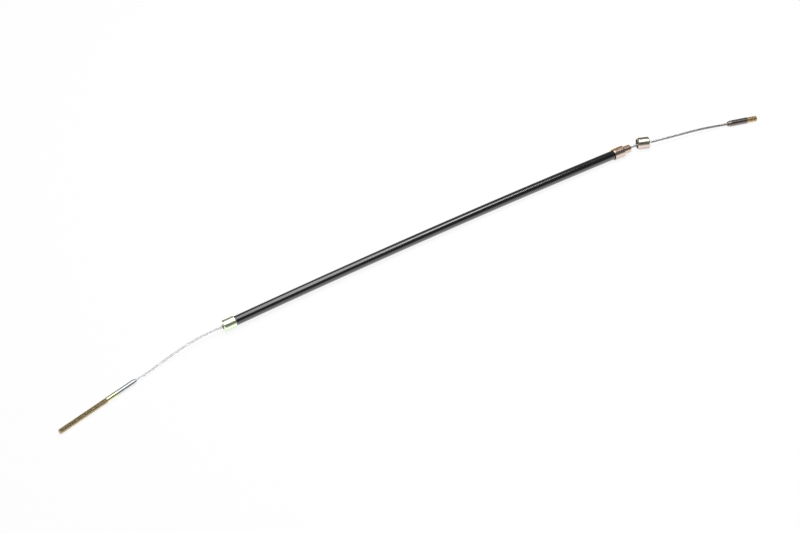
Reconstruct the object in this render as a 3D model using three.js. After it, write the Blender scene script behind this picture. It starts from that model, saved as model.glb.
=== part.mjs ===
// A parking brake cable lying on a flat surface: a sheathed conduit with a ferrule on each end, and
// an inner wire rope through it that carries a threaded rod, a loose sleeve and an end fitting.
// Millimetres, +Z up. The conduit runs along +X, from the rod end to the brake end, and its ferrules
// rest on the plane z = 0. Both tails of the wire bend to -Y.

import * as THREE from 'three';

// Running gaps
const fitGap = 0.3; // between pieces that touch or are crimped on the real cable
const linerRoom = 0.65; // beside the wire, in the liner
const ferruleRoom = 1; // beside the wire, in the ferrules' end holes
const sleeveRoom = 1.25; // beside the wire, in the loose sleeve's end hole

// Wire rope and conduit, from the inside out
const wireDiameter = 2.5;
const linerWall = 0.5;
const armourWall = 0.7;
const sheathWall = 0.8;
const conduitLength = 429.4;
const conduitBow = 2.8; // how far the middle of the conduit stands aside from its chord

// Ferrules: a cup on the rod end, and a cup with a nose on the brake end
const cupWall = 0.9;
const cupDepth = 9.3; // how far the conduit sits in
const cupEndWall = 2;
const cupChamfer = 0.6;
const noseDiameter = 8;
const noseLength = 8;
const noseRound = 1.2;

// Threaded rod, swaged on the wire
const threadDiameter = 5;
const threadLength = 50;
const barrelDiameter = 5.2;
const barrelLength = 11.5;
const rodSwageDiameter = 4.9;
const rodSwageLength = 20;
const rodSwageTaper = 3;

// Brake end fitting, swaged on the wire
const fittingDiameter = 6;
const fittingLength = 20.5;
const fittingTaper = 3.5;
const tipDiameter = 5.6;
const tipLength = 9.8;

const swageDepth = 15; // of the blind holes that take the ends of the wire
const endChamfer = 0.5; // on the ends of the rod and the tip

// Loose sleeve, open towards the nose and with a hole for the wire in its other end
const sleeveDiameter = 11.8;
const sleeveWall = 1.4;
const sleeveLength = 12.4;
const sleeveEndWall = 2;
const sleeveChamfer = 1.2;
const sleevePlace = 21; // from the nose's tip to the sleeve's holed end, along the conduit's end
const sleeveAside = 0.45; // from the wire to the middle of the hole, to the side
const sleeveHeading = THREE.MathUtils.degToRad(-22);

// The wire's tails: distance out along the ferrule's axis, distance to the -Y side,
// and how much of the way down from the conduit's height to the end piece's height
const rodTail = [
  [20, 0, 0],
  [33, 1, 0.1],
  [45, 2.4, 0.32],
  [58, 4.4, 0.68],
  [73, 7.3, 0.96],
  [92.5, 11.1, 1],
];
const brakeTail = [
  [6, 0, 0],
  [12, 0.9, 0.04],
  [18, 2.1, 0.1],
  [25, 3.5, 0.14],
  [37, 5.4, 0.2],
  [50, 7.5, 0.26],
  [63, 9.45, 0.32],
  [75, 11.2, 0.52],
  [86, 13.1, 0.78],
  [95, 15.1, 0.94],
  [104, 17.4, 1],
];

// Facets
const tubeSides = 12;
const wireSides = 8;
const turnedSides = 32;
const conduitSteps = 22;
const wireSteps = 80;

// Derived sizes, as radii
const wireRadius = wireDiameter / 2;
const linerBore = wireRadius + linerRoom;
const linerRadius = linerBore + linerWall;
const armourBore = linerRadius + fitGap;
const armourRadius = armourBore + armourWall;
const sheathBore = armourRadius + fitGap;
const sheathRadius = sheathBore + sheathWall;
const cupBore = sheathRadius + fitGap;
const cupRadius = cupBore + cupWall;
const cupLength = cupDepth + cupEndWall;
const ferruleHole = wireRadius + ferruleRoom;
const swageBore = wireRadius + fitGap;
const axisHeight = cupRadius;
const rodHeight = Math.max(barrelDiameter, threadDiameter, rodSwageDiameter) / 2;
const fittingHeight = Math.max(fittingDiameter, tipDiameter) / 2;

// The conduit's middle line: a shallow arch in plan, level, that ends in straight tangents
const halfLength = conduitLength / 2;
const endSlope = (2 * conduitBow) / halfLength;

function conduitPoint(x) {
  const y = conduitBow * (1 - (x / halfLength) ** 2);
  return new THREE.Vector3(x, y, axisHeight);
}

class ConduitLine extends THREE.Curve {
  getPoint(t) {
    return conduitPoint((2 * t - 1) * halfLength);
  }
}

// A frame at each end of the conduit: where it ends, the way out and the way to the -Y side
function endFrame(side) {
  const out = new THREE.Vector3(side, -endSlope, 0).normalize();
  const aside = new THREE.Vector3(-side * endSlope, -1, 0).normalize();
  const at = (distance, across = 0) =>
    conduitPoint(side * halfLength).addScaledVector(out, distance).addScaledVector(aside, across);
  return { out, aside, at };
}

const rodEnd = endFrame(-1);
const brakeEnd = endFrame(1);
const cupOuterFace = fitGap + cupEndWall; // from the conduit's end to the cup's outer face
const noseTip = cupOuterFace + noseLength;

function tailPoints(end, start, tail, endHeight) {
  return tail.map(([distance, across, drop]) => {
    const point = end.at(start + distance, across);
    point.z = THREE.MathUtils.lerp(axisHeight, endHeight, drop);
    return point;
  });
}

const rodTailPoints = tailPoints(rodEnd, cupOuterFace, rodTail, rodHeight);
const brakeTailPoints = tailPoints(brakeEnd, noseTip, brakeTail, fittingHeight);

// The level direction in which a tail ends, and that its end piece follows
function tailDirection(points) {
  const direction = points.at(-1).clone().sub(points.at(-2));
  direction.z = 0;
  return direction.normalize();
}

const rodDirection = tailDirection(rodTailPoints);
const fittingDirection = tailDirection(brakeTailPoints);

function wireLine() {
  const insideLiner = [];
  for (let share = -1; share <= 1.001; share += 0.25) {
    insideLiner.push(conduitPoint(share * halfLength));
  }
  const intoEnd = (points, direction) => {
    const depth = swageDepth - fitGap;
    return points.at(-1).clone().addScaledVector(direction, depth);
  };
  return new THREE.CatmullRomCurve3(
    [
      intoEnd(rodTailPoints, rodDirection),
      ...rodTailPoints.toReversed(),
      rodEnd.at(cupOuterFace),
      ...insideLiner,
      brakeEnd.at(noseTip),
      ...brakeTailPoints,
      intoEnd(brakeTailPoints, fittingDirection),
    ],
    false,
    'centripetal',
  );
}

// A regular polygon whose flats, for a bore, or corners, for an outside, lie on the true radius
function polygon(radius, sides, isBore) {
  const corner = isBore ? radius / Math.cos(Math.PI / sides) : radius;
  const points = [];
  for (let i = 0; i < sides; i += 1) {
    const angle = (2 * Math.PI * i) / sides;
    points.push(new THREE.Vector2(corner * Math.cos(angle), corner * Math.sin(angle)));
  }
  return points;
}

function tube(line, outerRadius, boreRadius, sides, steps) {
  const section = new THREE.Shape(polygon(outerRadius, sides, false));
  if (boreRadius > 0) {
    section.holes.push(new THREE.Path(polygon(boreRadius, sides, true)));
  }
  return new THREE.ExtrudeGeometry(section, { steps, bevelEnabled: false, extrudePath: line });
}

// A turned piece from [radius, distance along its axis] pairs, listed up the outside
function turned(profile) {
  return new THREE.LatheGeometry(profile.map(([r, a]) => new THREE.Vector2(r, a)), turnedSides);
}

function named(name, geometry, material) {
  const mesh = new THREE.Mesh(geometry, material);
  mesh.name = name;
  return mesh;
}

// Puts a turned piece's start at a point, with its axis along a direction
function placed(mesh, start, direction) {
  mesh.position.copy(start);
  mesh.quaternion.setFromUnitVectors(new THREE.Vector3(0, 1, 0), direction);
  return mesh;
}

function metal(color, roughness) {
  return new THREE.MeshStandardMaterial({ color, metalness: 1, roughness });
}

function plastic(color, roughness) {
  return new THREE.MeshStandardMaterial({ color, metalness: 0, roughness });
}

function conduit() {
  const line = new ConduitLine();
  const pieces = [
    ['outer_sheath', sheathRadius, sheathBore, plastic('#17171a', 0.35)],
    ['armour_coil', armourRadius, armourBore, metal('#8d9094', 0.4)],
    ['inner_liner', linerRadius, linerBore, plastic('#e6e4dc', 0.5)],
  ];
  return pieces.map(([name, outer, bore, material]) =>
    named(name, tube(line, outer, bore, tubeSides, conduitSteps), material));
}

function rodEndFerrule() {
  const cup = turned([
    [cupBore, 0],
    [cupRadius, 0],
    [cupRadius, cupLength - cupChamfer],
    [cupRadius - cupChamfer, cupLength],
    [ferruleHole, cupLength],
    [ferruleHole, cupDepth],
    [cupBore, cupDepth],
    [cupBore, 0],
  ]);
  const mesh = named('rod_end_ferrule', cup, metal('#c9cf8a', 0.3));
  return placed(mesh, rodEnd.at(cupOuterFace - cupLength), rodEnd.out);
}

function brakeEndFerrule() {
  const noseRadius = noseDiameter / 2;
  const noseEnd = cupLength + noseLength;
  const roundPoints = [];
  for (let i = 0; i <= 4; i += 1) {
    const angle = (i / 4) * (Math.PI / 2);
    const radius = noseRadius - noseRound * (1 - Math.cos(angle));
    roundPoints.push([radius, noseEnd - noseRound * (1 - Math.sin(angle))]);
  }
  const stepped = turned([
    [cupBore, 0],
    [cupRadius, 0],
    [cupRadius, cupLength - cupChamfer],
    [cupRadius - cupChamfer, cupLength],
    [noseRadius, cupLength],
    ...roundPoints,
    [ferruleHole, noseEnd],
    [ferruleHole, cupDepth],
    [cupBore, cupDepth],
    [cupBore, 0],
  ]);
  const mesh = named('brake_end_ferrule', stepped, metal('#c9a878', 0.3));
  return placed(mesh, brakeEnd.at(cupOuterFace - cupLength), brakeEnd.out);
}

function threadedRod() {
  const barrelStart = rodSwageLength;
  const threadStart = barrelStart + barrelLength;
  const end = threadStart + threadLength;
  const swageRadius = rodSwageDiameter / 2;
  const barrelRadius = barrelDiameter / 2;
  const threadRadius = threadDiameter / 2;
  const mouthRadius = (swageBore + swageRadius) / 2;
  const rod = turned([
    [0, swageDepth],
    [swageBore, swageDepth],
    [swageBore, 0],
    [mouthRadius, 0],
    [swageRadius, rodSwageTaper],
    [swageRadius, barrelStart],
    [barrelRadius, barrelStart],
    [barrelRadius, threadStart],
    [threadRadius, threadStart],
    [threadRadius, end - endChamfer],
    [threadRadius - endChamfer, end],
    [0, end],
  ]);
  return placed(named('threaded_rod', rod, metal('#a08a55', 0.4)), rodTailPoints.at(-1), rodDirection);
}

function brakeEndFitting() {
  const end = fittingLength + tipLength;
  const fittingRadius = fittingDiameter / 2;
  const tipRadius = tipDiameter / 2;
  const mouthRadius = (swageBore + fittingRadius) / 2;
  const fitting = turned([
    [0, swageDepth],
    [swageBore, swageDepth],
    [swageBore, 0],
    [mouthRadius, 0],
    [fittingRadius, fittingTaper],
    [fittingRadius, fittingLength],
    [tipRadius, fittingLength],
    [tipRadius, end - endChamfer],
    [tipRadius - endChamfer, end],
    [0, end],
  ]);
  const mesh = named('brake_end_fitting', fitting, metal('#5a5552', 0.4));
  return placed(mesh, brakeTailPoints.at(-1), fittingDirection);
}

// The point of a line that lies a given distance out from the brake end of the conduit
function wireBeside(line, distance) {
  const target = brakeEnd.at(distance).dot(brakeEnd.out);
  let low = 0;
  let high = 1;
  for (let i = 0; i < 40; i += 1) {
    const middle = (low + high) / 2;
    if (line.getPoint(middle).dot(brakeEnd.out) < target) {
      low = middle;
    } else {
      high = middle;
    }
  }
  return line.getPoint(low);
}

function looseSleeve(line) {
  const radius = sleeveDiameter / 2;
  const bore = radius - sleeveWall;
  const hole = wireRadius + sleeveRoom;
  const floor = sleeveLength - sleeveEndWall;
  const sleeve = turned([
    [bore, 0],
    [radius - sleeveChamfer, 0],
    [radius, sleeveChamfer],
    [radius, sleeveLength - sleeveChamfer],
    [radius - sleeveChamfer, sleeveLength],
    [hole, sleeveLength],
    [hole, floor],
    [bore, floor],
    [bore, 0],
  ]);
  const direction = new THREE.Vector3(Math.cos(sleeveHeading), Math.sin(sleeveHeading), 0);
  const start = wireBeside(line, noseTip + sleevePlace);
  start.addScaledVector(brakeEnd.aside, sleeveAside).addScaledVector(direction, -sleeveLength);
  start.z = radius;
  return placed(named('loose_sleeve', sleeve, metal('#b3a284', 0.3)), start, direction);
}

const cable = new THREE.Group();
const innerLine = wireLine();
const innerWire = tube(innerLine, wireRadius, 0, wireSides, wireSteps);
cable.add(
  ...conduit(),
  rodEndFerrule(),
  brakeEndFerrule(),
  named('inner_wire', innerWire, metal('#c4c6c8', 0.35)),
  threadedRod(),
  brakeEndFitting(),
  looseSleeve(innerLine),
);

// Stands the whole cable, tails included, with the middle of its box over the origin
const box = new THREE.Box3().setFromObject(cable, true);
const middle = box.getCenter(new THREE.Vector3());
cable.position.set(-middle.x, -middle.y, -box.min.z);

export default cable;
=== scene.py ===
# %% [markdown]
# # A parking brake cable
#
# A wire rope runs through a black conduit. Pull one end of the rope and the other end pulls the
# brake. The measured model already fixes every size and every place, so this lesson makes only
# what a camera sees: the lay of the rope, the thread, the ribs of the cover and the plated metal.

# %% Load the measured model
import math
import bpy
import numpy as np
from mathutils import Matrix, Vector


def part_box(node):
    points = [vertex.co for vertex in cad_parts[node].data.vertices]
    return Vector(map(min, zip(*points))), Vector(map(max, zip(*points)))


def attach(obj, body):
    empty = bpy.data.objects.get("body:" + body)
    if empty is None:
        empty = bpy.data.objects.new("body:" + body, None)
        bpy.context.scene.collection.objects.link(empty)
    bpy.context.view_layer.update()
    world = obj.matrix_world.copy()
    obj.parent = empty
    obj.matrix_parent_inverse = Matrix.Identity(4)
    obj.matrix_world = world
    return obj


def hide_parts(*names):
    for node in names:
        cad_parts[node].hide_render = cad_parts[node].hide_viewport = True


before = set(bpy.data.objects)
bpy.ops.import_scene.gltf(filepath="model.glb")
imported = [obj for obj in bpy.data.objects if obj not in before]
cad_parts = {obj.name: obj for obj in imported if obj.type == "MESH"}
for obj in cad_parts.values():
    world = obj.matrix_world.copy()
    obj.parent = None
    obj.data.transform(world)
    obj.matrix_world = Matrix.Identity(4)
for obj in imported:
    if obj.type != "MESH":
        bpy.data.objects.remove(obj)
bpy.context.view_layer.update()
MM = 0.001

# %% [markdown]
# ## The camera
#
# The photograph looks down at about 45 degrees with a long lens, and the conduit climbs across it
# from lower left to upper right. The camera comes first, because it decides how much detail each
# piece is worth. It is placed by its distance and two angles from the point that it looks at.

# %% Place the camera
LOOK_AT = np.array([-0.02785, -0.0014, 0.0])
CAMERA_DISTANCE = 1.809
CAMERA_HEIGHT_ANGLE = math.radians(45)
CAMERA_HEADING = math.radians(-32.1)
LENS = 90.0

camera_data = bpy.data.cameras.new("photo_camera")
camera_data.lens = LENS
camera_data.sensor_width = 36.0
camera = bpy.data.objects.new("photo_camera", camera_data)
bpy.context.scene.collection.objects.link(camera)
level = CAMERA_DISTANCE * math.cos(CAMERA_HEIGHT_ANGLE)
camera.location = LOOK_AT + np.array([
    math.sin(CAMERA_HEADING) * level,
    -math.cos(CAMERA_HEADING) * level,
    CAMERA_DISTANCE * math.sin(CAMERA_HEIGHT_ANGLE),
])
camera.rotation_euler = (math.pi / 2 - CAMERA_HEIGHT_ANGLE, 0.0, CAMERA_HEADING)
bpy.context.scene.camera = camera
print("camera at", tuple(round(v, 3) for v in camera.location))

# %% [markdown]
# ## The middle lines
#
# Everything on this cable is a round thing that follows a line. The conduit's line is a shallow
# arch, and the rope's line goes through it and on into two bent tails. The tails are a few listed
# points, given as the distance out of the ferrule, the distance to the side, and how much
# of the drop to the end piece's height is done. A smooth curve then joins them.

# %% Find the conduit's ends in the measured model
SHEATH_RADIUS = 4.5 * MM
CONDUIT_LENGTH = 429.4 * MM
CONDUIT_BOW = 2.8 * MM
CUP_OUTER_FACE = 2.3 * MM
NOSE_LENGTH = 8 * MM
SWAGE_REACH = 14.7 * MM
ROD_TAIL = [
    (20, 0, 0), (33, 1, 0.1), (45, 2.4, 0.32), (58, 4.4, 0.68), (73, 7.3, 0.96), (92.5, 11.1, 1),
]
BRAKE_TAIL = [
    (6, 0, 0), (12, 0.9, 0.04), (18, 2.1, 0.1), (25, 3.5, 0.14), (37, 5.4, 0.2), (50, 7.5, 0.26),
    (63, 9.45, 0.32), (75, 11.2, 0.52), (86, 13.1, 0.78), (95, 15.1, 0.94), (104, 17.4, 1),
]

sheath_low, sheath_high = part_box("outer_sheath")
axis_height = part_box("rod_end_ferrule")[1][2] / 2
rod_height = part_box("threaded_rod")[1][2] / 2
fitting_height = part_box("brake_end_fitting")[1][2] / 2
conduit_middle = np.array([
    (sheath_low[0] + sheath_high[0]) / 2,
    sheath_low[1] + SHEATH_RADIUS,
    axis_height,
])
HALF = CONDUIT_LENGTH / 2
END_SLOPE = 2 * CONDUIT_BOW / HALF


def conduit_line(x):
    """Points of the arch: y = bow times (1 - (x / half length) squared), at the ferrules' height."""
    x = np.asarray(x, dtype=float)
    y = CONDUIT_BOW * (1 - (x / HALF) ** 2)
    return conduit_middle + np.stack([x, y, np.zeros_like(x)], axis=-1)


def end_frame(side):
    """The conduit's end, the unit vector out of it, and the unit vector to its -Y side."""
    out = np.array([side, -END_SLOPE, 0.0]) / math.hypot(1, END_SLOPE)
    aside = np.array([-side * END_SLOPE, -1.0, 0.0]) / math.hypot(1, END_SLOPE)
    return conduit_line(side * HALF), out, aside


def tail_points(side, start, tail, end_height):
    """Each listed triple becomes end + out * distance + aside * across, lowered by its drop."""
    end, out, aside = end_frame(side)
    distance, across, drop = np.array(tail, dtype=float).T
    points = end + np.outer(start + distance * MM, out) + np.outer(across * MM, aside)
    points[:, 2] = axis_height + drop * (end_height - axis_height)
    return points


def level_direction(points):
    """The level unit vector from the last point but one to the last."""
    step = (points[-1] - points[-2]) * np.array([1.0, 1.0, 0.0])
    return step / np.linalg.norm(step)


rod_tail = tail_points(-1, CUP_OUTER_FACE, ROD_TAIL, rod_height)
brake_tail = tail_points(1, CUP_OUTER_FACE + NOSE_LENGTH, BRAKE_TAIL, fitting_height)
rod_direction = level_direction(rod_tail)
fitting_direction = level_direction(brake_tail)
print("rod starts at", rod_tail[-1].round(4), "fitting starts at", brake_tail[-1].round(4))

# %% [markdown]
# A wire has no corners, so the points are joined by a curve that goes through every one of them.
# A curve object could do it too, but the measured model's wire follows this same formula, and with
# one formula the two lie on one line.

# %% Join the points with a smooth curve


def smooth_line(points, spacing):
    """A centripetal Catmull-Rom curve through the points, resampled at an even spacing.

    Between two points the curve is the cubic that starts and ends with the slopes of the parabolas
    through each point and its neighbours, where the parameter grows with the root of the distance.
    """
    p = np.vstack([2 * points[0] - points[1], points, 2 * points[-1] - points[-2]])
    step = np.linalg.norm(np.diff(p, axis=0), axis=1) ** 0.5
    d0, d1, d2 = step[:-2, None], step[1:-1, None], step[2:, None]
    p0, p1, p2, p3 = p[:-3], p[1:-2], p[2:-1], p[3:]
    slope1 = d1 * ((p1 - p0) / d0 - (p2 - p0) / (d0 + d1) + (p2 - p1) / d1)
    slope2 = d1 * ((p2 - p1) / d1 - (p3 - p1) / (d1 + d2) + (p3 - p2) / d2)
    t = np.linspace(0, 1, 40, endpoint=False)[None, :, None]
    curve = (
        (2 * t**3 - 3 * t**2 + 1) * p1[:, None]
        + (t**3 - 2 * t**2 + t) * slope1[:, None]
        + (3 * t**2 - 2 * t**3) * p2[:, None]
        + (t**3 - t**2) * slope2[:, None]
    ).reshape(-1, 3)
    curve = np.vstack([curve, points[-1]])
    length = np.concatenate([[0], np.cumsum(np.linalg.norm(np.diff(curve, axis=0), axis=1))])
    even = np.linspace(0, length[-1], int(round(length[-1] / spacing)) + 1)
    return np.stack([np.interp(even, length, curve[:, i]) for i in range(3)], axis=1)


def rope_line(spacing):
    """The rope's middle line, from the bottom of the rod's bore to the bottom of the fitting's."""
    rod_cup = end_frame(-1)[0] + CUP_OUTER_FACE * end_frame(-1)[1]
    nose_tip = end_frame(1)[0] + (CUP_OUTER_FACE + NOSE_LENGTH) * end_frame(1)[1]
    inside = conduit_line(np.linspace(-HALF, HALF, 9))
    points = np.vstack([
        rod_tail[-1] + SWAGE_REACH * rod_direction,
        rod_tail[::-1],
        rod_cup,
        inside,
        nose_tip,
        brake_tail,
        brake_tail[-1] + SWAGE_REACH * fitting_direction,
    ])
    return smooth_line(points, spacing)


print("rope length", round(np.linalg.norm(np.diff(rope_line(MM), axis=0), axis=1).sum(), 4), "m")

# %% [markdown]
# ## Two ways to make a surface
#
# A cord is a profile carried along a line, and a turned piece is a profile carried round an axis.
# Both are grids of points: rows go along, columns go round. Two small functions turn such a grid
# into a closed mesh, with a fan of triangles at each open end.

# %% Turn a grid of points into a closed mesh


def grid_faces(rows, columns, wrap_rows):
    """Quads between neighbouring rows and columns. Columns always close, rows close if asked."""
    i = np.arange(rows if wrap_rows else rows - 1)[:, None]
    j = np.arange(columns)[None, :]
    following = (i + 1) % rows
    beside = (j + 1) % columns
    corners = [i * columns + j, i * columns + beside, following * columns + beside, following * columns + j]
    return np.stack([np.broadcast_to(c, (i.size, columns)) for c in corners], axis=-1).reshape(-1, 4)


def make_piece(name, body, grid, wrap_rows=False, caps=True, attributes=None, sharp=40):
    """Makes a mesh of a rows x columns grid, with a fan at each open end, and rides it on a body."""
    rows, columns, _ = grid.shape
    vertices = grid.reshape(-1, 3)
    faces = grid_faces(rows, columns, wrap_rows).tolist()
    values = {key: np.asarray(value, dtype=float).reshape(-1) for key, value in (attributes or {}).items()}
    if caps and not wrap_rows:
        start, end = len(vertices), len(vertices) + 1
        vertices = np.vstack([vertices, grid[0].mean(axis=0), grid[-1].mean(axis=0)])
        j = np.arange(columns)
        beside = (j + 1) % columns
        last = (rows - 1) * columns
        faces += np.stack([beside, j, np.full(columns, start)], axis=1).tolist()
        faces += np.stack([last + j, last + beside, np.full(columns, end)], axis=1).tolist()
        values = {key: np.append(value, [value[0], value[-1]]) for key, value in values.items()}
    mesh = bpy.data.meshes.new(name)
    mesh.from_pydata(vertices.tolist(), [], faces)
    for key, value in values.items():
        mesh.attributes.new(key, "FLOAT", "POINT").data.foreach_set("value", value.astype(np.float32))
    mesh.shade_smooth()
    mesh.set_sharp_from_angle(angle=math.radians(sharp))
    mesh.update()
    piece = bpy.data.objects.new(name, mesh)
    bpy.context.scene.collection.objects.link(piece)
    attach(piece, body)
    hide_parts(name.removesuffix("_look"))
    print(name, len(vertices), "points")
    return piece


print("3 rows of 4 points make", len(grid_faces(3, 4, False)), "faces, and 12 when the rows close too")

# %% [markdown]
# A cord's ring stands square to its line. Its side vector stays level all the way, so the ring
# never twists by itself, and a rope's twist comes only from the angle that it is given.

# %% Carry a round profile along a line


def along_line(line, radius, angle):
    """Points line + radius * (cos(angle) * side + sin(angle) * up), with side level and across."""
    tangent = np.gradient(line, axis=0)
    tangent /= np.linalg.norm(tangent, axis=1)[:, None]
    side = np.cross([0.0, 0.0, 1.0], tangent)
    side /= np.linalg.norm(side, axis=1)[:, None]
    up = np.cross(tangent, side)
    return (
        line[:, None]
        + (radius * np.cos(angle))[..., None] * side[:, None]
        + (radius * np.sin(angle))[..., None] * up[:, None]
    )


quarter_turns = np.linspace(0, 2 * math.pi, 4, endpoint=False)[None]
ring = along_line(rope_line(MM)[:2], np.full((2, 4), MM), quarter_turns)[0]
print("a ring of radius 1 mm is", round(float(np.ptp(ring[:, 2])), 5), "m high")

# %% [markdown]
# A turned piece starts as the outline that a lathe's tool would follow. Sharp corners look like
# paper, so each gets a small arc, and long stretches get more points, for the finishes to read
# the distance along the piece from.

# %% Carry a profile round an axis


def rounded(profile, radii, steps=5):
    """Replaces each corner of a closed profile by an arc that starts and ends its radius away.

    The arc is the quadratic (1 - t)^2 a + 2 t (1 - t) corner + t^2 b, between the points a and b.
    """
    p = np.array(profile, dtype=float)
    before, after = np.roll(p, 1, axis=0) - p, np.roll(p, -1, axis=0) - p
    t = np.linspace(0, 1, steps)[:, None]
    out = []
    for corner, back, ahead, radius in zip(p, before, after, radii):
        if radius == 0:
            out.append(corner[None])
            continue
        a = corner + back / np.linalg.norm(back) * radius
        b = corner + ahead / np.linalg.norm(ahead) * radius
        out.append((1 - t) ** 2 * a + 2 * t * (1 - t) * corner + t**2 * b)
    return np.vstack(out)


def round_axis(profile, start, direction, sides, offset=None):
    """Each [radius, along] pair in mm becomes a ring: start + along * axis + radius * (cos, sin).

    offset, if given, adds a height in mm that depends on radius, along and angle.
    """
    radius, along = np.array(profile, dtype=float).T
    angle = np.linspace(0, 2 * math.pi, sides, endpoint=False)[None]
    radius = radius[:, None] + (offset(radius[:, None], along[:, None], angle) if offset else 0 * angle)
    side = np.cross([0.0, 0.0, 1.0], direction)
    up = np.cross(direction, side)
    return start + MM * (
        along[:, None, None] * direction
        + (radius * np.cos(angle))[..., None] * side
        + (radius * np.sin(angle))[..., None] * up
    )


def spread(profile, longest):
    """Adds points to a profile so that no step is longer than the given length, in mm."""
    p = np.array(profile, dtype=float)
    out = [p[:1]]
    for a, b in zip(p[:-1], p[1:]):
        count = max(1, int(math.ceil(np.linalg.norm(b - a) / longest)))
        out.append(a + (b - a) * (np.arange(1, count + 1) / count)[:, None])
    return np.vstack(out)


square = rounded([(0, 0), (1, 0), (1, 1), (0, 1)], [0.1] * 4)
print("a square with rounded corners has", len(square), "points")

# %% [markdown]
# ## Shader maths as plain expressions
#
# A material is a sum written with nodes. A small class wraps a socket so that an expression in
# Python adds the Math nodes by itself, and one method adds any other node.

# %% Wrap a socket


class Value:
    """A number that varies over the surface. +, - and * add Math nodes to the tree."""

    def __init__(self, maker, socket):
        self.maker, self.socket = maker, socket

    def _math(self, operation, a, b, clamp=False):
        settings = {"operation": operation, "use_clamp": clamp}
        return self.maker.add("ShaderNodeMath", settings, {0: a, 1: b})

    def __add__(self, other):
        return self._math("ADD", self, other)

    def __sub__(self, other):
        return self._math("SUBTRACT", self, other)

    def __rsub__(self, other):
        return self._math("SUBTRACT", other, self)

    def __mul__(self, other):
        return self._math("MULTIPLY", self, other)

    def above(self, edge, width):
        """0 below the edge and 1 above it, with a straight ramp of the given width between."""
        return self._math("MULTIPLY", self - (edge - width / 2), 1 / width, clamp=True)

    __radd__ = __add__
    __rmul__ = __mul__


class Nodes:
    """A node tree that grows by adding nodes. A material's tree and the sky's tree both use it."""

    def __init__(self, tree):
        self.tree = tree

    def add(self, kind, settings=None, inputs=None, output=0):
        """Adds a node, sets its settings, then its inputs, and returns the wrapped output."""
        node = self.tree.nodes.new(kind)
        for key, value in (settings or {}).items():
            if key == "stops":
                self.set_stops(node.color_ramp, value)
            else:
                setattr(node, key, value)
        for key, value in (inputs or {}).items():
            self.feed(node.inputs[key], value)
        return Value(self, node.outputs[output])

    def set_stops(self, ramp, stops):
        """Gives a colour ramp its (position, colour) stops."""
        while len(ramp.elements) < len(stops):
            ramp.elements.new(1.0)
        for element, (position, colour) in zip(ramp.elements, stops):
            element.position = position
            element.color = (*colour, 1.0)

    def feed(self, socket, value):
        """Links a wrapped output, or writes a constant."""
        if isinstance(value, Value):
            self.tree.links.new(value.socket, socket)
        else:
            socket.default_value = value

    def mix(self, share, a, b):
        """Colour a where the share is 0, colour b where it is 1."""
        inputs = {"Factor": share, 6: a, 7: b}
        return self.add("ShaderNodeMix", {"data_type": "RGBA"}, inputs, output=2)

    def tinted(self, colour, tint):
        """Colour times tint, channel by channel."""
        settings = {"data_type": "RGBA", "blend_type": "MULTIPLY"}
        return self.add("ShaderNodeMix", settings, {"Factor": 1.0, 6: colour, 7: tint}, output=2)

    def ramp(self, share, stops):
        """A colour from a ramp of (position, colour) stops."""
        return self.add("ShaderNodeValToRGB", {"stops": stops}, {"Fac": share})

    def ray(self, kind):
        """1 for rays of one kind, such as "Is Camera Ray", and 0 for all others."""
        return self.add("ShaderNodeLightPath", output=kind)


class Finish(Nodes):
    """One material with a Principled shader."""

    def __init__(self, name, **constants):
        self.material = bpy.data.materials.new(name)
        self.material.use_nodes = True
        super().__init__(self.material.node_tree)
        self.shader = self.tree.nodes["Principled BSDF"]
        self.set(**constants)

    def set(self, **inputs):
        """Feeds inputs of the Principled shader. An underscore stands for a space."""
        for socket, value in inputs.items():
            self.feed(self.shader.inputs[socket.replace("_", " ")], value)
        return self.material

    def place(self):
        """Object coordinates, in metres."""
        return self.add("ShaderNodeTexCoord", output=3)

    def attribute(self, name):
        """A number stored on the piece's own points."""
        return self.add("ShaderNodeAttribute", {"attribute_name": name}, output=2)

    def noise(self, scale, detail=2.0, roughness=0.5):
        """Smooth noise from 0 to 1, with so many cells to the metre."""
        inputs = {"Vector": self.place(), "Scale": scale, "Detail": detail, "Roughness": roughness}
        return self.add("ShaderNodeTexNoise", None, inputs)

    def bump(self, height, distance, strength=1.0):
        """A normal bent by a height from 0 to 1 that stands for the given distance in metres."""
        inputs = {"Height": height, "Distance": distance, "Strength": strength}
        return self.add("ShaderNodeBump", None, inputs)


print("shader helpers:", ", ".join(kind.__name__ for kind in (Value, Nodes, Finish)))


# %% [markdown]
# ## Plated metal
#
# Zinc plate with a yellow passivate is thin and uneven: it drifts from straw to pink to green over
# a few millimetres, as oil does on water. Over that tint the colour is painted in light and dark
# bands by the way that a point faces, as painted reflections along each piece, and slow noise
# disturbs them. Fast noise breaks the gloss, and fine turning lines follow the piece's own distance along its
# axis.

# %% Make the plated finishes
TURNING_PITCH = 0.11


def turning_lines(finish):
    """A sine of the distance along the axis, in mm, from 0 to 1."""
    phase = finish.attribute("along") * (2 * math.pi / TURNING_PITCH)
    return finish.add("ShaderNodeMath", {"operation": "SINE"}, {0: phase}) * 0.5 + 0.5


def zinc(name, gloss, tints_and_painted_bands):
    """Plate colour with painted reflection bands, evenly spaced from the side that faces down to the one that
    faces up.
    """
    finish = Finish(name, Metallic=1.0)
    drift = finish.noise(170.0, detail=3.0) * 0.7 + finish.noise(600.0) * 0.3
    facing = finish.attribute("facing") + (drift - 0.5) * 0.25
    places = np.linspace(0.1, 0.9, len(tints_and_painted_bands))
    colour = finish.ramp(facing, list(zip(places, tints_and_painted_bands)))
    grain = finish.noise(4000.0)
    lines = turning_lines(finish)
    return finish.set(
        Base_Color=colour,
        Roughness=grain * 0.1 + (gloss - 0.05),
        Normal=finish.bump(lines * 0.6 + grain * 0.4, 0.002 * MM),
    )


# Each list holds the plate's colour and painted light: its steps lighten and darken the reflections, from the
# downward side to the upward side.
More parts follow.
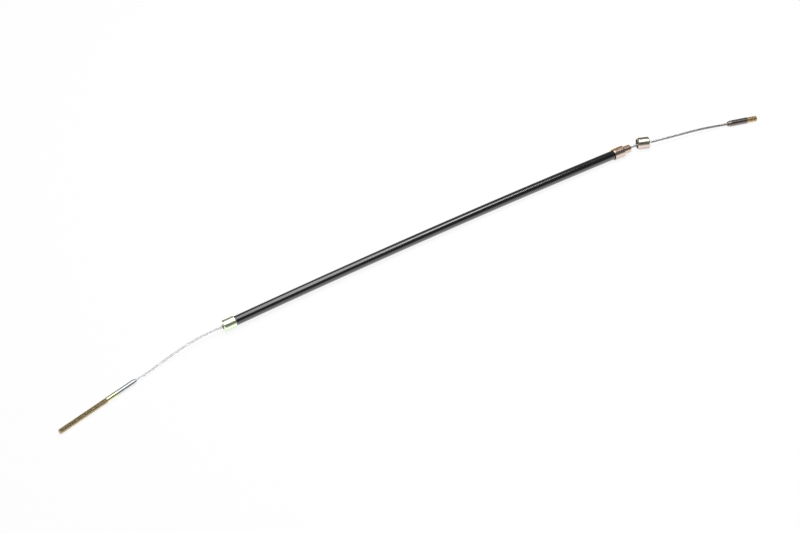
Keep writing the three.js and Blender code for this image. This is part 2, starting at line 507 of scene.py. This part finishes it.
pale_yellow_zinc = zinc("pale_yellow_zinc", 0.27, [
    (0.38, 0.42, 0.34), (0.58, 0.64, 0.49), (0.68, 0.76, 0.53), (0.46, 0.50, 0.39), (0.58, 0.58, 0.48),
])
pink_gold_zinc = zinc("pink_gold_zinc", 0.27, [
    (0.30, 0.25, 0.22), (0.50, 0.40, 0.34), (0.54, 0.41, 0.31), (0.52, 0.41, 0.34), (0.68, 0.44, 0.26),
])
sleeve_zinc = zinc("sleeve_zinc", 0.27, [
    (0.29, 0.25, 0.23), (0.47, 0.41, 0.36), (0.43, 0.42, 0.34), (0.50, 0.51, 0.43), (0.34, 0.27, 0.21),
])
print("plated:", pale_yellow_zinc.name, pink_gold_zinc.name, sleeve_zinc.name)

# %% [markdown]
# The rod and the fitting are each one turned piece with more than one finish. The swaging press
# rubs the plate off where it squeezes the wire, so the finish changes with the distance along the
# piece. The thread's valleys are duller than the crests, and painted shade darkens their colour.

# %% Make the finishes that change along a piece
PAINTED_ROOT_SHADE = (0.5, 0.45, 0.35, 1.0)
WHITE = (1.0, 1.0, 1.0, 1.0)


def along_piece(name, bands):
    """Colours by distance along the axis: bands is [(from mm, colour, roughness), ...]."""
    finish = Finish(name, Metallic=1.0)
    along = finish.attribute("along")
    blotch = finish.noise(300.0, detail=3.0)
    wobble = (blotch - 0.5) * 1.6
    _, first_colour, rough = bands[0]
    colour = (*first_colour, 1.0)
    for start, band_colour, band_rough in bands[1:]:
        share = (along + wobble).above(start, 0.8)
        colour = finish.mix(share, colour, (*band_colour, 1.0))
        rough = (1 - share) * rough + share * band_rough
    shade = finish.add("ShaderNodeCombineColor", None, dict.fromkeys(range(3), blotch * 0.35 + 0.82))
    colour = finish.tinted(colour, shade)
    # The thread's roots are darkened in the colour as painted shade, and made duller.
    root = finish.attribute("root")
    colour = finish.tinted(colour, finish.mix(root, WHITE, PAINTED_ROOT_SHADE))
    grain = finish.noise(3500.0)
    return finish.set(
        Base_Color=colour,
        Roughness=rough + (grain - 0.5) * 0.12 + root * 0.15,
        Normal=finish.bump(turning_lines(finish) * 0.5 + grain * 0.5, 0.002 * MM),
    )


print("a thread's root is tinted", PAINTED_ROOT_SHADE[:3])

# %% [markdown]
# ## The black cover
#
# The cover is plastic, extruded over a coil of flat wire, so the coil shows through as faint ribs.
# They are real waves in the mesh: the radius falls by a few hundredths of a millimetre between
# turns, and the wave climbs round the cover like the coil does.

# %% Extrude the ribbed cover
RIB_PITCH = 1.7
RIB_DEPTH = 0.04
SHEATH_SIDES = 48
SHEATH_BORE = 3.7
BORE_STRIDE = 21


def ribbed_cover():
    """Outside radius R - depth * (0.5 - 0.5 cos(2 pi along / pitch + angle)), then back inside."""
    steps = int(CONDUIT_LENGTH / MM / RIB_PITCH * 5)
    x = np.linspace(-HALF, HALF, steps)
    line = conduit_line(x)
    angle = np.linspace(0, 2 * math.pi, SHEATH_SIDES, endpoint=False)[None]
    along = ((x + HALF) / MM)[:, None]
    wave = 0.5 - 0.5 * np.cos(2 * math.pi * along / RIB_PITCH + angle)
    outside = along_line(line, SHEATH_RADIUS - RIB_DEPTH * MM * wave, angle)
    inside = along_line(line, np.full(wave.shape, SHEATH_BORE * MM), angle)[:: -BORE_STRIDE]
    inside[-1] = along_line(line[:2], np.full((2, SHEATH_SIDES), SHEATH_BORE * MM), angle)[0]
    return np.concatenate([outside, inside])


cover = make_piece("outer_sheath_look", "conduit", ribbed_cover(), wrap_rows=True)

# %% [markdown]
# The cover is glossy, so what the eye reads is its reflections. A faint haze breaks the gloss over
# centimetres, and a fine orange peel ripples the highlight's edge, as on any extruded plastic.

# %% Give the cover its gloss
black = Finish("black_cover", IOR=1.65)
haze = black.noise(90.0, detail=4.0)
orange_peel = black.noise(1800.0, detail=2.0)
cover.data.materials.append(black.set(
    Base_Color=black.mix(haze, (0.004, 0.004, 0.005, 1.0), (0.009, 0.008, 0.009, 1.0)),
    Roughness=haze * 0.05 + 0.09,
    Normal=black.bump(orange_peel, 0.01 * MM, 0.6),
))
print("the cover's finish is", black.material.name)

# %% [markdown]
# ## The wire rope
#
# The rope is one core with twelve wires laid round it. One closed skin can show all twelve: its
# section is the outline of twelve circles in a ring, and that section turns as it goes along.
# For a wire of radius w whose middle is c from the rope's middle, the outline at an angle d from
# the wire is c cos d + the root of (w squared - c squared sin squared d).

# %% Lay the rope
ROPE_RADIUS = 1.25
OUTER_WIRES = 12
ROPE_LAY = 19.0
POINTS_A_WIRE = 6
ROPE_STEP = 0.9


def laid_rope():
    """Sweeps the twelve-lobed outline along the rope's line while it turns once in each lay."""
    line = rope_line(ROPE_STEP * MM)
    sides = OUTER_WIRES * POINTS_A_WIRE
    wire = ROPE_RADIUS / (1 + 1 / math.sin(math.pi / OUTER_WIRES))
    middle = ROPE_RADIUS - wire
    angle = np.linspace(0, 2 * math.pi, sides, endpoint=False)
    lobe = 2 * math.pi / OUTER_WIRES
    off = (angle + lobe / 2) % lobe - lobe / 2
    inner = np.maximum(wire**2 - (middle * np.sin(off)) ** 2, 0.0)
    outline = middle * np.cos(off) + np.sqrt(inner)
    along = np.arange(len(line))[:, None] * ROPE_STEP
    turned_angle = angle[None] + 2 * math.pi * along / ROPE_LAY
    grid = along_line(line, np.broadcast_to(outline * MM, (len(line), sides)), turned_angle)
    valley = (outline.max() - outline) / np.ptp(outline)
    return grid, np.broadcast_to(valley, (len(line), sides)), np.broadcast_to(along, (len(line), sides))


rope_grid, rope_valley, rope_along = laid_rope()
rope_values = {"valley": rope_valley, "along": rope_along}
rope = make_piece("inner_wire_look", "inner_cable", rope_grid, attributes=rope_values, sharp=80)

# %% [markdown]
# The rope is bright and matt where it is new, at the rod's end, and darker where it has been
# handled and oiled, at the brake's end. Painted shade darkens the grooves between its wires
# everywhere, twice as much at the oiled end, and a point attribute that is 1 at the bottom of each groove
# says where they are.

# %% Galvanise the rope
steel = Finish("galvanised_rope", Metallic=1.0)
groove = steel.attribute("valley")
tarnish = steel.noise(250.0, detail=3.0)
oiled = steel.attribute("along").above(500.0, 300.0)
fresh = steel.mix(tarnish, (0.68, 0.68, 0.70, 1.0), (0.80, 0.80, 0.81, 1.0))
dull = steel.mix(tarnish, (0.32, 0.31, 0.31, 1.0), (0.44, 0.42, 0.42, 1.0))
bright = steel.mix(oiled, fresh, dull)
rope.data.materials.append(steel.set(
    # Painted shade darkens the grooves between the wires, twice as much at the oiled end.
    Base_Color=steel.mix(groove * groove * (oiled * 0.25 + 0.25), bright, (0.13, 0.125, 0.12, 1.0)),
    Roughness=tarnish * 0.15 + groove * 0.2 + (1 - oiled) * 0.2 + 0.24,
))
print("the rope's finish is", steel.material.name)

# %% [markdown]
# ## The ferrules
#
# Both ferrules are turned cups. Each profile is a closed outline, with its corners rounded a
# little, because it is the thin bright line on an edge that tells an eye the piece is metal.

# %% Turn the two ferrules
TURNED_SIDES = 96
# The side that the painted reflection bands on the plated pieces are reckoned from: up, and away from the
# camera.
PAINTED_BANDS_UP = np.array([0.0, 0.77, 0.64])
CUP_RADIUS = 5.7
CUP_BORE = 4.8
CUP_LENGTH = 11.3
CUP_DEPTH = 9.3
FERRULE_HOLE = 2.25
NOSE_RADIUS = 4.0


def turned_piece(name, body, slot, profile, start, direction, material):
    """Carries a closed profile round an axis. Each point stores its distance along it and its painted band
    place.

    The band place is 0.5 + 0.5 (unit vector out of the axis . the painted bands' up side): 1 on that side, 0
    on the other.
    """
    profile = np.vstack([profile, profile[:1]])
    fine = spread(profile, 1.0)[:-1]
    grid = round_axis(fine, start, direction, TURNED_SIDES)
    along = np.repeat(fine[:, 1:], TURNED_SIDES, axis=1)
    spoke = grid - (start + MM * fine[:, 1:, None] * direction)
    facing = 0.5 + 0.5 * (spoke / np.linalg.norm(spoke, axis=2, keepdims=True)) @ PAINTED_BANDS_UP
    piece = make_piece(name, body, grid, wrap_rows=True, attributes={"along": along, "facing": facing})
    piece.data.materials.append(material)
    return piece


def cup_start(side):
    """Where a cup's mouth is, and the way from its mouth to its closed end."""
    end, out, _ = end_frame(side)
    return end + out * (CUP_OUTER_FACE - CUP_LENGTH * MM), out


rod_cup_profile = rounded(
    [(CUP_BORE, 0), (CUP_RADIUS, 0), (CUP_RADIUS, CUP_LENGTH), (FERRULE_HOLE, CUP_LENGTH),
     (FERRULE_HOLE, CUP_DEPTH), (CUP_BORE, CUP_DEPTH)],
    [0.15, 0.25, 0.7, 0.4, 0.1, 0.0])
turned_piece(
    "rod_end_ferrule_look", "conduit", "pale_yellow_zinc", rod_cup_profile, *cup_start(-1), pale_yellow_zinc)

nose_end = CUP_LENGTH + NOSE_LENGTH / MM
stepped_profile = rounded(
    [(CUP_BORE, 0), (CUP_RADIUS, 0), (CUP_RADIUS, CUP_LENGTH), (NOSE_RADIUS, CUP_LENGTH),
     (NOSE_RADIUS, nose_end), (FERRULE_HOLE, nose_end), (FERRULE_HOLE, CUP_DEPTH), (CUP_BORE, CUP_DEPTH)],
    [0.15, 0.25, 0.7, 0.2, 1.2, 0.3, 0.1, 0.0])
turned_piece(
    "brake_end_ferrule_look", "conduit", "pink_gold_zinc", stepped_profile, *cup_start(1), pink_gold_zinc)

# %% [markdown]
# ## The loose sleeve
#
# This cup is not fixed to anything: the rope passes through it, and it lies on the table a little
# out of line. The measured model says where, so its axis is read from the node's box: the box's
# middle is the sleeve's middle, and the heading is a named angle.

# %% Turn the loose sleeve
SLEEVE_RADIUS = 5.9
SLEEVE_BORE = 4.5
SLEEVE_LENGTH = 12.4
SLEEVE_FLOOR = 10.4
SLEEVE_HOLE = 2.5
SLEEVE_CHAMFER = 1.2
SLEEVE_HEADING = math.radians(-22)

sleeve_low, sleeve_high = (np.array(corner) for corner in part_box("loose_sleeve"))
sleeve_direction = np.array([math.cos(SLEEVE_HEADING), math.sin(SLEEVE_HEADING), 0.0])
sleeve_start = (sleeve_low + sleeve_high) / 2 - sleeve_direction * SLEEVE_LENGTH * MM / 2
flank = SLEEVE_RADIUS - SLEEVE_CHAMFER
sleeve_profile = rounded(
    [(SLEEVE_BORE, 0), (flank, 0), (SLEEVE_RADIUS, SLEEVE_CHAMFER),
     (SLEEVE_RADIUS, SLEEVE_LENGTH - SLEEVE_CHAMFER), (flank, SLEEVE_LENGTH),
     (SLEEVE_HOLE, SLEEVE_LENGTH), (SLEEVE_HOLE, SLEEVE_FLOOR), (SLEEVE_BORE, SLEEVE_FLOOR)],
    [0.15, 0.15, 0.3, 0.3, 0.15, 0.2, 0.1, 0.0])
turned_piece(
    "loose_sleeve_look", "loose_sleeve", "sleeve_zinc", sleeve_profile, sleeve_start, sleeve_direction,
    sleeve_zinc)

# %% [markdown]
# ## Threads
#
# A thread is a turned piece whose radius also depends on the angle. At a distance s along the
# axis and an angle a, the phase is s / pitch - a / (2 pi). A triangle wave of that phase, cut flat
# at its crest and its root, is the section of a metric thread. The wave fades in and out over one
# pitch, as it does where a die starts and stops.

# %% Cut the threaded rod and the fitting
THREAD_PITCH = 0.8
THREAD_DEPTH = 0.46
THREAD_SIDES = 48
THREAD_STEP = 0.1
WIRE_BORE = 1.55
BORE_DEPTH = 15.0


def thread_wave(along, angle, first, last):
    """0 on the crests and 1 in the roots: a triangle wave cut flat at both ends of its travel."""
    phase = along / THREAD_PITCH - angle / (2 * math.pi)
    triangle = np.abs((phase % 1.0) * 2 - 1)
    cut = np.clip((triangle - 0.12) / 0.7, 0.0, 1.0)
    fade = np.clip((along - first) / THREAD_PITCH, 0, 1) * np.clip((last - along) / THREAD_PITCH, 0, 1)
    return cut * fade


def threaded_piece(name, outline, thread, start, direction, material):
    """An outline from the bore's bottom round to the far end, with a thread between two distances."""
    first, last = thread
    fine = spread(outline, THREAD_STEP)
    is_outside = (np.arange(len(fine)) > np.argmin(np.abs(fine[:, 1])))[:, None]

    def root(radius, along, angle):
        return thread_wave(along, angle, first, last) * is_outside * (radius > WIRE_BORE)

    grid = round_axis(fine, start, direction, THREAD_SIDES, lambda r, s, a: -THREAD_DEPTH * root(r, s, a))
    angle = np.linspace(0, 2 * math.pi, THREAD_SIDES, endpoint=False)[None]
    roots = root(fine[:, :1], fine[:, 1:], angle)
    along = np.repeat(fine[:, 1:], THREAD_SIDES, axis=1)
    piece = make_piece(name, "inner_cable", grid, attributes={"along": along, "root": roots})
    piece.data.materials.append(material)
    return piece


ROD_SWAGE, ROD_BARREL, ROD_END = 20.0, 31.5, 81.45
rod_outline = np.array([
    (0.02, BORE_DEPTH), (WIRE_BORE, BORE_DEPTH), (WIRE_BORE, 0), (2.0, 0), (2.15, 0.4), (2.42, 2.6),
    (2.45, 3.2), (2.45, ROD_SWAGE - 0.2), (2.6, ROD_SWAGE + 0.1), (2.6, ROD_BARREL - 0.3), (2.5, ROD_BARREL),
    (2.5, ROD_END - 0.6), (2.05, ROD_END), (0.02, ROD_END),
])
rod_finish = along_piece("rod_plate", [
    (0, (0.38, 0.39, 0.40), 0.28),
    (ROD_SWAGE, (0.46, 0.47, 0.33), 0.24),
    (ROD_BARREL, (0.52, 0.46, 0.33), 0.36),
    (ROD_END - 0.4, (0.20, 0.15, 0.10), 0.45),
])
threaded_piece(
    "threaded_rod_look", rod_outline, (ROD_BARREL, ROD_END), rod_tail[-1], rod_direction,
    rod_finish)

FITTING_SLEEVE, FITTING_END = 20.5, 30.25
fitting_outline = np.array([
    (0.02, BORE_DEPTH), (WIRE_BORE, BORE_DEPTH), (WIRE_BORE, 0), (2.1, 0), (2.3, 0.3), (2.9, 3.0),
    (3.0, 3.6), (3.0, FITTING_SLEEVE - 0.4), (2.8, FITTING_SLEEVE), (2.8, FITTING_END - 0.6),
    (2.35, FITTING_END), (0.02, FITTING_END),
])
fitting_finish = along_piece("fitting_plate", [
    (0, (0.14, 0.12, 0.11), 0.34),
    (FITTING_SLEEVE, (0.52, 0.41, 0.26), 0.34),
])
threaded_piece(
    "brake_end_fitting_look", fitting_outline, (FITTING_SLEEVE, FITTING_END), brake_tail[-1],
    fitting_direction, fitting_finish)

# %% [markdown]
# ## What stays hidden
#
# The armour and the liner sit inside the cover, so the measured tubes are shape enough. They still
# get a finish of their own, for whoever takes the cable apart.

# %% Finish the armour and the liner
armour = Finish("armour_wire", Metallic=1.0)
turns = armour.add("ShaderNodeSeparateXYZ", None, {0: armour.place()}) * (2 * math.pi / (RIB_PITCH * MM))
coil = armour.add("ShaderNodeMath", {"operation": "SINE"}, {0: turns}) * 0.5 + 0.5
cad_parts["armour_coil"].data.materials.clear()
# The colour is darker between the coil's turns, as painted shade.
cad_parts["armour_coil"].data.materials.append(armour.set(
    Base_Color=armour.mix(coil, (0.30, 0.30, 0.31, 1.0), (0.56, 0.57, 0.58, 1.0)),
    Roughness=coil * -0.15 + 0.5,
    Normal=armour.bump(coil, 0.1 * MM),
))

liner = Finish("liner_plastic", IOR=1.5)
cloud = liner.noise(120.0, detail=3.0)
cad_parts["inner_liner"].data.materials.clear()
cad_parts["inner_liner"].data.materials.append(liner.set(
    Base_Color=liner.mix(cloud, (0.80, 0.79, 0.74, 1.0), (0.88, 0.87, 0.84, 1.0)),
    Roughness=cloud * 0.1 + 0.4,
))
print("hidden finishes:", armour.material.name, liner.material.name)

# %% [markdown]
# ## Floor, sky and lamps
#
# The photograph is taken on a white sheet that is lit until it is pure white. Here the floor is
# pale and plain, and most of its whiteness is a colour that only camera, mirror and glass rays
# see, so no extra light falls on the cable. The share that is left over is real, lit floor, and
# it keeps the cable's soft shadow. Mirror rays see a brighter floor than the camera does, because
# a photograph clips at white and a reflection doesn't.

# %% Lay the floor
FLOOR_HALF = 6.0
GLOW_SHARE = 0.9
MIRROR_GLOW = 2.6
MIRROR_SHARE = 0.65

floor_mesh = bpy.data.meshes.new("floor")
corners = [(x * FLOOR_HALF, y * FLOOR_HALF, 0.0) for x, y in ((-1, -1), (1, -1), (1, 1), (-1, 1))]
floor_mesh.from_pydata(corners, [], [(0, 1, 2, 3)])
floor = bpy.data.objects.new("floor", floor_mesh)
bpy.context.scene.collection.objects.link(floor)
floor.location = (0, 0, -0.0002)

sheet = Finish("white_sheet", Roughness=0.6, Base_Color=(0.86, 0.86, 0.86, 1.0))
glow = sheet.add("ShaderNodeEmission", None, {"Color": (1.0, 1.0, 1.0, 1.0), "Strength": 1.0})
mirror_glow = sheet.add("ShaderNodeEmission", None, {"Color": (1.0, 1.0, 1.0, 1.0), "Strength": MIRROR_GLOW})
seen = sheet.ray("Is Camera Ray") + sheet.ray("Is Transmission Ray")
mirrored = sheet.ray("Is Glossy Ray")
lit = Value(sheet, sheet.shader.outputs[0])
for_eyes = sheet.add("ShaderNodeMixShader", None, {0: seen * GLOW_SHARE, 1: lit, 2: glow})
for_all = sheet.add("ShaderNodeMixShader", None, {0: mirrored * MIRROR_SHARE, 1: for_eyes, 2: mirror_glow})
sheet.tree.links.new(for_all.socket, sheet.tree.nodes["Material Output"].inputs["Surface"])
floor_mesh.materials.append(sheet.material)
print("floor", 2 * FLOOR_HALF, "m wide")

# %% [markdown]
# The sky is a grey tent with a dark gap high in front, where the camera looks in. Shiny metal shows
# that gap as the dark line along each cup. The tent is drawn by one angle: 0 at the horizon in
# front of the conduit, a quarter turn overhead, and half a turn at the horizon behind it.

# %% Set the sky
TENT = [
    (0.0, 0.6), (0.06, 0.5), (0.12, 0.25), (0.18, 0.1), (0.36, 0.08), (0.44, 0.2), (0.52, 0.28), (0.84, 0.28),
    (0.94, 0.45), (1.0, 0.35),
]

world = bpy.data.worlds.new("studio")
bpy.context.scene.world = world
world.use_nodes = True
sky = Nodes(world.node_tree)
look = sky.add("ShaderNodeSeparateXYZ", None, {0: sky.add("ShaderNodeTexCoord")})
forward = Value(sky, look.socket.node.outputs["Y"]) * -1
upward = Value(sky, look.socket.node.outputs["Z"])
angle_up = sky.add("ShaderNodeMath", {"operation": "ARCTAN2"}, {0: upward, 1: forward}) * (1 / math.pi)
tent = sky.ramp(angle_up, [(place, (grey, grey, grey * 1.01)) for place, grey in TENT])
background = sky.tree.nodes["Background"]
sky.feed(background.inputs["Color"], sky.mix(sky.ray("Is Camera Ray"), tent, (1.0, 1.0, 1.0, 1.0)))
print("sky stops", len(TENT))

# %% [markdown]
# A soft panel hangs half a metre above the conduit, and a smaller strip beside it, further from the
# rod. Their reflections are the long highlight on the black cover, which ends where they end, so
# the left cup gleams and the right cup doesn't. A large lamp high above softens the shadows.

# %% Hang the lamps


def softbox(name, place, size, power):
    """A level panel that shines down. place and size are in metres, power in watts."""
    light = bpy.data.lights.new(name, "AREA")
    light.shape = "RECTANGLE"
    light.size, light.size_y = size
    light.energy = power
    lamp = bpy.data.objects.new(name, light)
    bpy.context.scene.collection.objects.link(lamp)
    lamp.location = place
    lamp.visible_camera = False
    print(name, "hangs at", place)


softbox("low_panel", (0.085, 0.065, 0.5), (0.17, 0.71), 0.8)
softbox("strip", (0.265, 0.02, 0.5), (0.19, 0.14), 0.8)
softbox("high_panel", (0.0, 0.2, 2.6), (2.4, 2.4), 60.0)
bpy.context.scene.view_settings.view_transform = "Standard"
